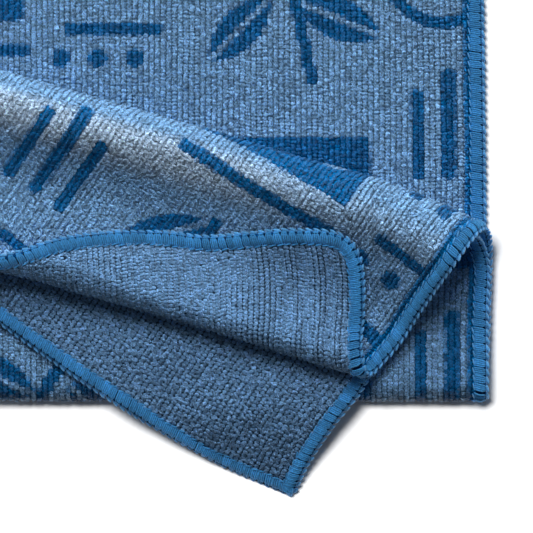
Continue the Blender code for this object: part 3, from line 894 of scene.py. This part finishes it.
def finished(tree, geometry, material, end, floor):
    # flat place as a UV map, nothing under the floor, smooth, material
    flat = addNode(tree, "GeometryNodeInputNamedAttribute", {"data_type": "FLOAT_VECTOR"},
                   Name="flat place").outputs[0]
    mapped = addNode(tree, "GeometryNodeStoreNamedAttribute",
                     {"data_type": "FLOAT2", "domain": "CORNER"}, Geometry=geometry, Name="flat")
    tree.links.new(flat, mapped.inputs["Value"])
    place = addNode(tree, "ShaderNodeSeparateXYZ",
                    i0=addNode(tree, "GeometryNodeInputPosition").outputs[0])
    raised = addNode(tree, "ShaderNodeCombineXYZ", i0=place.outputs[0], i1=place.outputs[1],
                     i2=maths(tree, "MAXIMUM", place.outputs[2], floor)).outputs[0]
    lifted = addNode(tree, "GeometryNodeSetPosition", Geometry=mapped.outputs[0],
                     Position=raised).outputs[0]
    smooth = addNode(tree, "GeometryNodeSetShadeSmooth", Geometry=lifted).outputs[0]
    dressed = addNode(tree, "GeometryNodeSetMaterial", Geometry=smooth, Material=material)
    tree.links.new(dressed.outputs[0], end.inputs[0])


# ---------- terry stitches ----------
stitches = {
    # across the rib, along it, through the cloth, how far it may lean
    "printed": (1.02, 0.98, 0.44, 0.40),
    "drawn": (0.96, 1.12, 0.44, 0.24),
    "plain": (1.06, 0.74, 0.54, 0.40),
    "tip": (0.76, 0.96, 0.60, 0.16),
    "sunk": 0.06,                # how far the middle lies over the sheet's face
    "sunkUneven": 0.06,
    "uneven": 0.22,
    "tipWander": 0.06,
    "looseWander": 0.45,         # on the corner that is turned over
    "drift": (0.22, 0.70),       # of a rib against the last one, as a share of a stitch
    "drawnPitch": 0.86,          # ribs lie closer by the hem of the tip
    "drawnTo": (13.0, 26.0),
    "wander": 0.12,              # of a stitch's middle, as a share of the pitch
    "missing": 0.03,
    "from": 3.1,                 # clear of the hem
    "to": 122.0,                 # from the right hem; beyond it the knit is in the finish
    "lastFull": 112.0,
    "perPiece": 9500,
    "seed": 11,
}


def makeStitchTree():
    tree, start, end = newGeometryTree("terry stitches", (
        ("Width", "NodeSocketFloat", stitches["plain"][0] * mm),
        ("Length", "NodeSocketFloat", stitches["plain"][1] * mm),
        ("Height", "NodeSocketFloat", stitches["plain"][2] * mm),
        ("Lean", "NodeSocketFloat", stitches["plain"][3]),
        ("Uneven", "NodeSocketFloat", stitches["uneven"]),
        ("Floor", "NodeSocketFloat", 0.0),
        ("Seed", "NodeSocketInt", stitches["seed"]),
        ("Material", "NodeSocketMaterial", None)))
    bead = addNode(tree, "GeometryNodeMeshIcoSphere", Radius=0.5, Subdivisions=1).outputs[0]
    share = addNode(tree, "GeometryNodeInputNamedAttribute", {"data_type": "FLOAT"},
                    Name="rib share").outputs[0]
    size = addNode(tree, "ShaderNodeCombineXYZ",
                   i0=maths(tree, "MULTIPLY", start.outputs["Width"], share),
                   i1=start.outputs["Length"], i2=start.outputs["Height"]).outputs[0]
    copies = placedCopies(tree, start.outputs[0], bead, start.outputs["Seed"],
                          start.outputs["Lean"], start.outputs["Uneven"], size)
    finished(tree, copies, start.outputs["Material"], end, start.outputs["Floor"])
    return tree


def ribPitch(places):
    near, far = stitches["drawnTo"]
    close = stitches["drawnPitch"]
    return close + (printing["wale"] - close) * easeIn(places - near, far - near)


def ribPlace(rib, drawn):
    # a rib's distance from the right hem
    if not drawn:
        return rib * printing["wale"]
    places = np.arange(0, stitches["to"] + 40, 0.5)
    ribs = np.concatenate([[0], np.cumsum(0.5 / ribPitch(places))])[:len(places)]
    return np.interp(rib, ribs, places)


def stitchPlaces(seed, vLow, vHigh, drawn, wander):
    rng = np.random.default_rng(seed)
    wale, course = printing["wale"], printing["course"]
    wales = np.arange(int(stitches["from"] / wale) + 1, int(stitches["to"] / wale) + 5 * drawn)
    courses = np.arange(int(vLow / course) + 1, int(vHigh / course))
    w, c = np.meshgrid(wales, courses, indexing="ij")
    drift = np.cumsum(rng.normal(0, stitches["drift"][drawn], len(wales)))[:, None]
    slow = 0.9 * np.sin(c * course / 7.3 + w * 0.21) + 0.5 * np.sin(c * course / 3.1 - w * 0.37)
    u = ribPlace(w + 0.5 + 0.16 * slow * rng.uniform(0.5, 1), drawn)
    v = (c + 0.5 + drift % 1) * course
    u = u + rng.normal(0, wander * wale, u.shape) * 0.6
    v = v + rng.normal(0, wander * course, v.shape)
    u, v = u.ravel(), v.ravel()
    keep = (v > vLow + stitches["from"]) & (v < vHigh) & (u > stitches["from"])
    fadeOut = (u - stitches["lastFull"]) / (stitches["to"] - stitches["lastFull"])
    keep &= rng.uniform(0, 1, len(u)) > np.maximum(fadeOut, stitches["missing"])
    return u[keep], v[keep]


stitchTree = makeStitchTree()
viewWays = [(0, 0, 1), (0.5, 0, 0.8), (-0.5, 0, 0.8), (0, -0.6, 0.8), (0.4, -0.6, 0.5),
            (0, 0.6, 0.7), (0.9, 0, 0.3)]


def makeStitches(name, size, vLow, vHigh, sign, material, seed, drawn=False,
                 wander=stitches["wander"]):
    u, v = stitchPlaces(seed, vLow, vHigh, drawn, wander)
    across, along, normal = frameAt(u, v)
    outward = normal * sign
    rise = np.random.default_rng(seed + 100).normal(stitches["sunk"], stitches["sunkUneven"],
                                                    (len(u), 1))
    centre = fold(u, v) + outward * (half + rise)
    seen = seenFrom(centre, outward, viewWays)
    u, v, centre, across, along, outward = (
        each[seen] for each in (u, v, centre, across, along * sign, outward))
    flat = np.stack([u, v, 0 * u], axis=-1) * mm
    # the share of the painted crest highlight, for the finish
    crestHighlight = crestHighlightShare(u, v)
    narrow = ribPitch(u) / printing["wale"] if drawn else np.ones_like(u)
    made = []
    count = max(1, int(np.ceil(len(u) / stitches["perPiece"])))
    for part, chosen in enumerate(np.array_split(np.arange(len(u)), count)):
        if len(chosen) == 0:
            continue
        label = f"{name}_{part + 1}"
        points = pointsObject(label, centre[chosen],
                              turnsOf(across[chosen], along[chosen], outward[chosen]),
                              flat[chosen], outward[chosen],
                              (("crest highlight share", crestHighlight[chosen]), ("rib share", narrow[chosen])))
        modifier = points.modifiers.new("terry", "NODES")
        modifier.node_group = stitchTree
        width, length, height, lean = stitches[size]
        setInputs(modifier, stitchTree, {
            "Material": material, "Seed": seed + part, "Width": width * mm,
            "Length": length * mm, "Height": height * mm, "Lean": lean})
        made.append(applied(points, label))
    print("cloth:", name, len(u), "stitches in", len(made), "pieces")
    return made


stitchPieces = []
stitchPieces += makeStitches("crest_stitches", "drawn", innerStart, side - stitches["from"], 1,
                             printedStitch, 21, drawn=True)
stitchPieces += makeStitches("back_stitches", "printed", bottomEnd - stitches["from"], secondEnd, 1,
                             printedStitch, 31)
stitchPieces += makeStitches("front_stitches", "printed", 0, bottomStart, 1, printedStitch, 41)
stitchPieces += makeStitches("tip_stitches", "tip", innerStart, side - stitches["from"], -1,
                             plainStitch, 51, drawn=True, wander=stitches["tipWander"])
stitchPieces += makeStitches("corner_stitches", "plain", 0, topEnd, -1, plainStitch, 61,
                             wander=stitches["looseWander"])

# ---------- overlocked hem ----------
hem = {
    "pitch": 1.52,
    "reach": 2.2,                # from the sheet's edge in to the needle line
    "rise": 0.12,                # middle of the yarn over the sheet's face
    "edge": 0.14,                # middle of the yarn outside the sheet's edge
    "yarn": (0.195, 0.15),        # radius of every other yarn
    "strands": 4,
    "gather": 0.46,              # how far a stitch's strands draw together at the edge
    "gatherFrom": 0.70,
    "slant": 0.45,
    "knot": (1.62, 0.60, 0.66),  # edge loop: along the hem, across it, through it
    "knotPlace": (0.33, 0.14),
    "knotTurn": 0.34,
    "chain": (1.50, 0.34, 0.34),
    "lean": 0.05,
    "uneven": 0.05,
    "fineTo": 112.0,             # from the right hem; further on the yarns have fewer faces
    "seed": 5,
}


def tubeMesh(path, radius, sides, verts, faces):
    path = np.array(path, float)
    tangents = np.gradient(path, axis=0)
    base = len(verts)
    for point, tangent in zip(path, tangents):
        tangent = tangent / np.linalg.norm(tangent)
        first = np.cross(tangent, (1, 0, 0))
        first = first / np.linalg.norm(first)
        second = np.cross(tangent, first)
        for k in range(sides):
            angle = 2 * pi * k / sides
            verts.append(point + radius * (cos(angle) * first + sin(angle) * second))
    for ring in range(len(path) - 1):
        for k in range(sides):
            a, b = base + ring * sides + k, base + ring * sides + (k + 1) % sides
            faces.append((a, b, b + sides, a + sides))
    faces.append(tuple(base + k for k in reversed(range(sides))))
    last = base + (len(path) - 1) * sides
    faces.append(tuple(last + k for k in range(sides)))


def beadMesh(middle, size, turn, around, rings, verts, faces):
    base = len(verts)
    c, s = cos(turn), sin(turn)

    def put(x, y, z):
        x, y, z = x * size[0] / 2, y * size[1] / 2, z * size[2] / 2
        verts.append(np.array(middle) + np.array((x * c - y * s, x * s + y * c, z)))
    put(-1, 0, 0)
    for ring in range(1, rings):
        angle = pi * ring / rings
        for k in range(around):
            spin = 2 * pi * k / around
            put(-cos(angle), sin(angle) * cos(spin), sin(angle) * sin(spin))
    put(1, 0, 0)
    last = len(verts) - 1
    for k in range(around):
        nextK = (k + 1) % around
        faces.append((base, base + 1 + nextK, base + 1 + k))
        for ring in range(rings - 2):
            a, b = base + 1 + ring * around + k, base + 1 + ring * around + nextK
            faces.append((a, b, b + around, a + around))
        top = base + 1 + (rings - 2) * around
        faces.append((last, top + k, top + nextK))


def makeStitchUnit(name, strands, sides, rings, beadAround):
    # x along the hem, y outwards, z out of the printed side; the sheet's edge is y = 0
    verts, faces = [], []
    spacing = hem["pitch"] / strands
    up, reach = half + hem["rise"], hem["reach"]
    profile = [(-reach, half - 0.1), (-reach + 0.3, up - 0.02), (-1.25, up + 0.2),
               (-0.6, up + 0.1), (-0.05, up * 0.62), (hem["edge"], 0.0)]
    profile = profile + [(y, -z) for y, z in profile[-2::-1]]
    for strand in range(strands):
        thick = hem["yarn"][strand % 2]
        offset = (strand + 0.5) * spacing - hem["pitch"] / 2
        path = []
        for step, (y, z) in enumerate(profile):
            t = (y + reach) / (reach + hem["edge"])
            drawn = 1 - hem["gather"] * max(0.0, t - hem["gatherFrom"]) / (1 - hem["gatherFrom"])
            lag = 0.25 if step >= len(profile) // 2 else 0.0
            path.append((offset * drawn + hem["slant"] * (t - 0.5) + lag, y, z))
        tubeMesh(path, thick * (hem["strands"] / strands)**0.7, sides, verts, faces)
    strandVerts = len(verts)
    y, z = hem["knotPlace"]
    beadMesh((hem["slant"] / 2, y, z), hem["knot"], hem["knotTurn"], beadAround, rings, verts, faces)
    beadMesh((-0.2, -reach - 0.12, half + 0.24), hem["chain"], 0.25, beadAround, rings - 1,
             verts, faces)
    highlightVertsEnd = len(verts)
    beadMesh((-0.2, -reach - 0.1, -half - 0.10), hem["chain"], -0.25, beadAround, rings - 1,
             verts, faces)
    mesh = bpy.data.meshes.new(name)
    mesh.from_pydata([(Vector(vert) * mm)[:] for vert in verts], [], faces)
    # the edge knot and the printed side's chain carry the painted highlight; the other side's chain
    # does not
    light = mesh.attributes.new("light", "FLOAT", "POINT")
    light.data.foreach_set("value", [float(strandVerts <= k < highlightVertsEnd)
                                     for k in range(len(verts))])
    return newObject(name, mesh)


def makeHemTree():
    tree, start, end = newGeometryTree("overlock stitches", (
        ("Stitch", "NodeSocketObject", None),
        ("Lean", "NodeSocketFloat", hem["lean"]),
        ("Uneven", "NodeSocketFloat", hem["uneven"]),
        ("Floor", "NodeSocketFloat", 0.00002),
        ("Seed", "NodeSocketInt", hem["seed"]),
        ("Material", "NodeSocketMaterial", None)))
    unit = addNode(tree, "GeometryNodeObjectInfo", Object=start.outputs["Stitch"])
    copies = placedCopies(tree, start.outputs[0], unit.outputs["Geometry"],
                          start.outputs["Seed"], start.outputs["Lean"],
                          start.outputs["Uneven"], (1, 1, 1))
    finished(tree, copies, start.outputs["Material"], end, start.outputs["Floor"])
    return tree


def hemPlaces():
    # the whole hem as one closed line on the flat cloth, then evenly spaced stitches on it
    inset = sheetSteps["inset"]
    ease = np.linspace(inset, side - inset, 2001)[:-1]
    near, far = np.full_like(ease, inset), np.full_like(ease, side - inset)
    u = np.concatenate([near, ease, far, side - ease])
    v = np.concatenate([ease, far, side - ease, near])
    points = fold(u, v)
    ahead = np.roll(points, -1, axis=0)
    lengths = np.linalg.norm(ahead - points, axis=1)
    run = np.concatenate([[0], np.cumsum(lengths)])
    count = round(run[-1] / hem["pitch"])
    stops = (np.arange(count) + 0.5) * run[-1] / count

    def read(values, at):
        closed = np.concatenate([values, values[:1]])
        return np.stack([np.interp(at, run, closed[:, axis]) for axis in range(3)], axis=-1)

    inner = 1.6
    normal = frameAt(np.clip(u, inner, side - inner), np.clip(v, inner, side - inner))[2]
    middle = read(points, stops)
    tangent = read(points, (stops + 0.5) % run[-1]) - read(points, (stops - 0.5) % run[-1])
    tangent = tangent / np.linalg.norm(tangent, axis=1, keepdims=True)
    normal = read(normal, stops)
    normal = normal - tangent * np.sum(normal * tangent, axis=1, keepdims=True)
    normal = normal / np.linalg.norm(normal, axis=1, keepdims=True)
    outward = np.cross(normal, tangent)
    nearU = np.interp(stops, run, np.append(u, u[0]))
    flat = np.stack([nearU, np.interp(stops, run, np.append(v, v[0])), 0 * nearU], axis=-1)
    return middle, tangent, outward, normal, flat


def makeHem():
    middle, tangent, outward, normal, flat = hemPlaces()
    units = (makeStitchUnit("fine stitch", hem["strands"], 4, 5, 6),
             makeStitchUnit("light stitch", 2, 4, 4, 5))
    tree = makeHemTree()
    fine = flat[:, 0] < hem["fineTo"]
    firstHalf = flat[:, 1] < side / 2
    made = []
    for name, chosen, unit in (
            ("hem_right_front", fine & firstHalf, units[0]),
            ("hem_right_back", fine & ~firstHalf, units[0]),
            ("hem_left", ~fine, units[1])):
        points = pointsObject(name, middle[chosen],
                              turnsOf(tangent[chosen], outward[chosen], normal[chosen]),
                              flat[chosen] * mm, normal[chosen])
        modifier = points.modifiers.new("overlock", "NODES")
        modifier.node_group = tree
        setInputs(modifier, tree, {"Stitch": unit, "Material": hemYarn})
        made.append(applied(points, name))
        print("cloth:", name, int(np.sum(chosen)), "stitches,", len(made[-1].data.polygons),
              "faces")
    for unit in units:
        bpy.data.objects.remove(unit, do_unlink=True)
    return made


hemPieces = makeHem()

# ---------- floor, light and camera ----------
studio = {
    "floor": (0.90, 0.90, 0.90, 1),
    "floorSize": 6.0,
    "sky": 0.08,
    # soft lights on the cloth: strength, heading, degrees above the floor, degrees across
    "lights": (("from above", 2.20, (-0.20, 1.0), 51.0, 34.0),
               ("low from behind", 2.3, (-0.22, 1.0), 11.0, 24.0)),
    "floorLight": 4.0,           # the floor has its own light from above
    "floorLightSoft": 16.0,
    "cameraHeight": 4.0,
    "frameWidth": 0.1013,        # what the photograph shows of the table, in metres
    "frameMiddle": (0.1580, -0.0187),
}


def softSun(name, strength, spreadAngle, way, lit, glossy=False):
    light = bpy.data.lights.new(name, "SUN")
    light.energy = strength
    light.angle = radians(spreadAngle)
    lamp = newObject(name, light)
    lamp.location = (0, 0, 1)
    lamp.rotation_euler = Vector(way).to_track_quat("Z", "Y").to_euler()
    group = bpy.data.collections.new(name + " lights")
    for each in lit:
        group.objects.link(each)
    lamp.light_linking.receiver_collection = group
    lamp.visible_glossy = glossy


def makeStudio(knit, hems):
    s = studio["floorSize"] / 2
    mesh = bpy.data.meshes.new("floor")
    mesh.from_pydata([(-s, -s, 0), (s, -s, 0), (s, s, 0), (-s, s, 0)], [], [(0, 1, 2, 3)])
    material, tree = newMaterial("pale floor")
    tree.nodes["Principled BSDF"].inputs["Base Color"].default_value = studio["floor"]
    tree.nodes["Principled BSDF"].inputs["Roughness"].default_value = 0.9
    mesh.materials.append(material)
    floor = newObject("floor", mesh)

    world = bpy.data.worlds.new("soft studio")
    world.use_nodes = True
    background = world.node_tree.nodes["Background"]
    background.inputs[0].default_value = (1, 1, 1, 1)
    background.inputs[1].default_value = studio["sky"]
    bpy.context.scene.world = world

    for name, strength, heading, height, across in studio["lights"]:
        away = Vector((*heading, 0)).normalized() * cos(radians(height))
        low = height < 45
        softSun(name, strength, across, (away.x, away.y, sin(radians(height))),
                knit if low else knit + hems, glossy=low)
    softSun("light on the floor", studio["floorLight"], studio["floorLightSoft"],
            (-0.18, 0.30, 1), [floor])

    middle = Vector((*studio["frameMiddle"], 0.0))
    camera = bpy.data.cameras.new("from above")
    camera.sensor_width = 36.0
    camera.lens = camera.sensor_width * studio["cameraHeight"] / studio["frameWidth"]
    camera.clip_start, camera.clip_end = 0.05, 50.0
    eye = newObject("from above", camera)
    eye.location = middle + Vector((0, 0, studio["cameraHeight"]))
    bpy.context.scene.camera = eye
    bpy.context.scene.view_settings.view_transform = "Standard"


makeStudio([terrySheet] + stitchPieces, hemPieces)
print("cloth: studio made")

# ---------- what each piece is, for the frame ----------
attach(terrySheet, "root")
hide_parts("cloth")
for piece in stitchPieces + hemPieces:
    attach(piece, "root")
